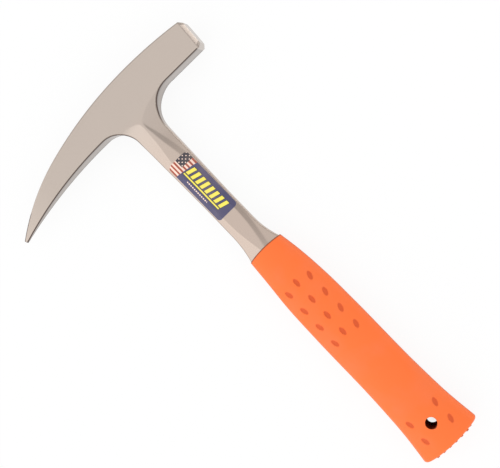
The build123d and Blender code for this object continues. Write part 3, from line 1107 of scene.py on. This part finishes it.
def grip_material(finish):
    """Moulded orange grip with a fine pebbled skin, and painted shade in the dimples, on the
    sides, at the mouth and on the pips.
    """
    material, tree, shader = new_material("orange_moulding")
    shader.inputs["Specular IOR Level"].default_value = 0.3
    _, smudge = add_surface(
        tree, shader, (2600.0, 2600.0, 2600.0), 0.012 * MM, finish.grip_roughness, 0.1
    )
    dusty = tuple(0.94 * value + 0.02 for value in finish.grip)
    shade = mix_colour(tree, contrast(tree, smudge, 0.45, 0.75), finish.grip, dusty)
    # Painted shade from the two masks kept on the mesh.
    for name, colour_there in (("deep", finish.deep), ("seam", finish.seam)):
        shade = mix_colour(tree, point_mark(tree, name), shade, colour_there)
    feed(tree, shader.inputs["Base Color"], shade)
    return material


def hole_shade_material(finish):
    """Dull wall of the lanyard hole, darkened with painted shade and soiled unevenly."""
    material, tree, shader = new_material("hole_wall")
    shader.inputs["Specular IOR Level"].default_value = 0.0
    _, smudge = add_surface(tree, shader, (900.0, 900.0, 900.0), 0.01 * MM, 0.9, 0.05)
    # Painted shade: the wall's dark colour, made a little paler where it is soiled.
    paler = tuple(1.6 * value for value in finish.painted_bore_shade)
    soiled = mix_colour(tree, contrast(tree, smudge, 0.4, 0.6), finish.painted_bore_shade, paler)
    feed(tree, shader.inputs["Base Color"], soiled)
    return material


def striped_end(tree, finish, u, v, half_width):
    """Stripes along the label, with a dark corner of pale dots in staggered rows.

    A dot shows where the squared distance to the middle of its place is small.
    """
    stripes, corner_length, pitch, dot = 13, 6.4, 1.6, 0.42
    place = product(tree, math_node(tree, "ADD", v, half_width), stripes / (2 * half_width))
    odd = math_node(tree, "MODULO", math_node(tree, "FLOOR", place), 2.0)
    striped = mix_colour(tree, odd, finish.red, finish.cream)

    row = math_node(tree, "FLOOR", math_node(tree, "DIVIDE", u, pitch))
    shift = product(tree, math_node(tree, "MODULO", row, 2.0), pitch)
    across = math_node(tree, "ADD", math_node(tree, "ADD", v, shift), 30 * pitch)
    across = math_node(tree, "SUBTRACT", math_node(tree, "MODULO", across, 2 * pitch), pitch)
    along = math_node(tree, "SUBTRACT", math_node(tree, "MODULO", u, pitch), pitch / 2)
    away = math_node(tree, "ADD", product(tree, across, across), product(tree, along, along))
    dots = math_node(tree, "LESS_THAN", away, dot**2)
    dotted = mix_colour(tree, dots, finish.canton, finish.cream)
    corner = product(
        tree, between(tree, u, -1.0, corner_length), between(tree, v, -1.0, 20.0)
    )
    return mix_colour(tree, corner, striped, dotted)


def barred_panel(tree, finish, u, v):
    """Navy ground with slanted bars over a line, both rimmed dark, and a row of dashes.

    The bars are drawn twice: first wider by their rim in the dark ink, then in yellow.
    """
    bar_lean, first, last, beat, bar = 0.28, 10.6, 43.9, 4.4, 2.5
    lean = math_node(tree, "SUBTRACT", u, product(tree, v, bar_lean))
    ground = finish.navy
    for rim, ink in ((0.4, finish.canton), (0.0, finish.yellow)):
        shifted = math_node(tree, "ADD", lean, rim - first + 10 * beat)
        step = math_node(tree, "MODULO", shifted, beat)
        bars = math_node(tree, "LESS_THAN", step, bar + 2 * rim)
        bars = product(tree, bars, between(tree, v, -1.4 - rim, 5.2 + rim))
        bars = math_node(tree, "MAXIMUM", bars, between(tree, v, -3.2 - rim, -2.2 + rim))
        bars = product(tree, bars, between(tree, lean, first - rim, last + rim))
        ground = mix_colour(tree, bars, ground, ink)
    dash_pitch, dash_length = 1.7, 1.1
    dash = math_node(tree, "LESS_THAN", math_node(tree, "MODULO", u, dash_pitch), dash_length)
    dash = product(tree, dash, between(tree, v, -5.7, -4.8), between(tree, u, 15.5, 34.5))
    return mix_colour(tree, dash, ground, finish.cream)


def label_material(finish, label, shank):
    """Printed film: stripes and a dotted corner at the head end, then a navy panel.

    u runs down the handle from the label's end and v across it towards the poll, both in
    millimetres.  The panel starts where u, less its border's lean times v, passes the border.
    """
    material, tree, shader = new_material("printed_film")
    shader.inputs["Specular IOR Level"].default_value = 0.3
    _, smudge = add_surface(tree, shader, (700.0, 5000.0, 700.0), 0.004 * MM, 0.3, 0.12)
    place = axes(tree, "Object")
    u = math_node(tree, "MULTIPLY_ADD", place["Y"], -1 / MM, (CROWN_Y - label.start) / MM)
    v = math_node(tree, "MULTIPLY_ADD", place["X"], 1 / MM, (shank.offset - HANDLE_X) / MM)
    border, border_lean = 9.3, 0.18
    past = math_node(tree, "SUBTRACT", u, product(tree, v, border_lean))
    on_panel = math_node(tree, "GREATER_THAN", past, border)
    stripes = striped_end(tree, finish, u, v, label.width / 2 / MM)
    printed = mix_colour(tree, on_panel, stripes, barred_panel(tree, finish, u, v))
    faded = mix_colour(tree, contrast(tree, smudge, 0.5, 0.9), printed, finish.cream)
    feed(tree, shader.inputs["Base Color"], mix_colour(tree, 0.15, printed, faded))
    return material


def floor_material():
    """Pale floor: white to the camera and in reflections, dark only right under the hammer.

    The camera sees a contact shadow: ambient occlusion within a few millimetres, cleared
    smoothly where a fifth or more of the sky is open.
    """
    material, tree, surface = new_material("floor", "MixShader")
    rays = add_node(tree, "LightPath").outputs
    seen = math_node(tree, "MAXIMUM", rays["Is Camera Ray"], rays["Is Glossy Ray"])
    seen = math_node(tree, "MAXIMUM", seen, rays["Is Transmission Ray"])
    contact = add_node(tree, "AmbientOcclusion", {"Distance": 8 * MM})
    clear = add_node(
        tree, "MapRange", {"Value": contact.outputs["AO"], "From Min": 0.0, "From Max": 0.2}
    )
    clear.interpolation_type = "SMOOTHSTEP"
    not_camera = math_node(tree, "SUBTRACT", 1.0, rays["Is Camera Ray"])
    lit = math_node(tree, "MAXIMUM", clear.outputs["Result"], not_camera)
    paper = add_node(tree, "BsdfDiffuse", {"Color": (0.95, 0.95, 0.95, 1)})
    glow = add_node(tree, "Emission", {"Strength": lit})
    feed(tree, surface.inputs["Fac"], product(tree, seen, 0.9))
    feed(tree, surface.inputs[1], paper.outputs[0])
    feed(tree, surface.inputs[2], glow.outputs[0])
    return material


# ---- Stage -----------------------------------


def lay_floor():
    """A square floor at the height of nought."""
    side = 4.0
    mesh = bpy.data.meshes.new("floor")
    corners = [(-side, -side, 0), (side, -side, 0), (side, side, 0), (-side, side, 0)]
    mesh.from_pydata(corners, [], [(0, 1, 2, 3)])
    mesh.materials.append(floor_material())
    floor = link_object("floor", mesh)


def add_panel(name, place, aim, size, level):
    """A rectangular soft light of an even brightness.

    Its power is brightness times pi times area.
    """
    data = bpy.data.lights.new(name, "AREA")
    data.shape = "RECTANGLE"
    data.size, data.size_y = size
    data.energy = level * np.pi * size[0] * size[1]
    light = link_object(name, data)
    light.location = place
    light.rotation_euler = (Vector(place) - Vector(aim)).to_track_quat("Z", "Y").to_euler()


def light_room(tree, stage):
    """A softly graded room, the same to the camera and in reflections.

    It is bright overhead and beyond the butt, brightest on the pick side and dim on the poll
    side.  Each share grows with the height of the direction or with its lean to that side,
    and the greatest is added to the level.
    """
    direction = axes(tree, "Generated")
    overhead = contrast(tree, direction["Z"], 0.6, 0.74)
    beyond_butt = contrast(tree, direction["Y"], -0.25, -0.5)
    pick_side = contrast(tree, direction["X"], -0.36, -0.52)
    wide = product(tree, math_node(tree, "MAXIMUM", overhead, beyond_butt), stage.top_level)
    bright = math_node(tree, "MAXIMUM", wide, product(tree, pick_side, stage.side_level))
    background = tree.nodes["Background"]
    background.inputs["Color"].default_value = (1, 1, 1, 1)
    feed(tree, background.inputs["Strength"], math_node(tree, "ADD", bright, stage.world_level))


def place_camera(focal):
    """A camera above the hammer, turned so that the handle runs down to the right.

    Its own right is the direction across the turned picture, made square to the view.
    """
    data = bpy.data.cameras.new("camera")
    data.lens = focal
    data.sensor_width = 36
    place = Vector((0.1795, -0.0387, 0.973))
    aim = Vector((0.02432, 0.0279, 0.013))
    ahead = (aim - place).normalized()
    handle_slope = np.radians(46.0)
    across = Vector((np.sin(handle_slope), -np.cos(handle_slope), 0))
    right = (across - ahead * across.dot(ahead)).normalized()
    turn = Matrix((right, right.cross(ahead), -ahead)).transposed()
    camera = link_object("camera", data)
    camera.matrix_world = Matrix.Translation(place) @ turn.to_4x4()
    bpy.context.scene.camera = camera


class HAMMER_OT_stage(bpy.types.Operator):
    """Pale floor, soft studio light and the camera"""

    bl_idname = "hammer.stage"
    bl_label = "Stage"

    def execute(self, context):
        """Lays the floor, hangs the lights and places the camera."""
        scene = context.scene
        stage = scene.rock_hammer.stage
        lay_floor()
        world = bpy.data.worlds.new("room")
        world.use_nodes = True
        light_room(world.node_tree, stage)
        scene.world = world
        scene.view_settings.view_transform = "Standard"
        add_panel("top_panel", (0.0, 0.0, 1.35), (0.0, 0.001, 0), (1.2, 1.2), stage.panel_level)
        add_panel("low_strip", (1.3, 0.35, 0.12), (0.09, 0.15, 0.01), (1.2, 0.22), stage.low_level)
        place_camera(stage.focal)
        return {"FINISHED"}


class HAMMER_PT_panel(bpy.types.Panel):
    """Lists the pieces of the rock hammer"""

    bl_label = "Rock hammer"
    bl_space_type = "VIEW_3D"
    bl_region_type = "UI"
    bl_category = "Rock hammer"

    def draw(self, context):
        """Shows one button for each operator."""
        for operator in (HAMMER_OT_forging, HAMMER_OT_grip, HAMMER_OT_label, HAMMER_OT_stage):
            self.layout.operator(operator.bl_idname)


CLASSES = (
    HeadSizes,
    ShankSizes,
    GripSizes,
    LabelSizes,
    Finishes,
    StageSettings,
    HammerSettings,
    HAMMER_OT_forging,
    HAMMER_OT_grip,
    HAMMER_OT_label,
    HAMMER_OT_stage,
    HAMMER_PT_panel,
)


def register():
    """Registers the classes and the settings."""
    for item in CLASSES:
        bpy.utils.register_class(item)
    bpy.types.Scene.rock_hammer = PointerProperty(type=HammerSettings)


def unregister():
    """Removes the settings and the classes."""
    del bpy.types.Scene.rock_hammer
    for item in reversed(CLASSES):
        bpy.utils.unregister_class(item)


def main():
    """Builds the hammer on its stage."""
    register()
    build = bpy.ops.hammer
    for piece in (build.stage, build.forging, build.grip, build.label):
        piece()


if __name__ == "__main__":
    main()
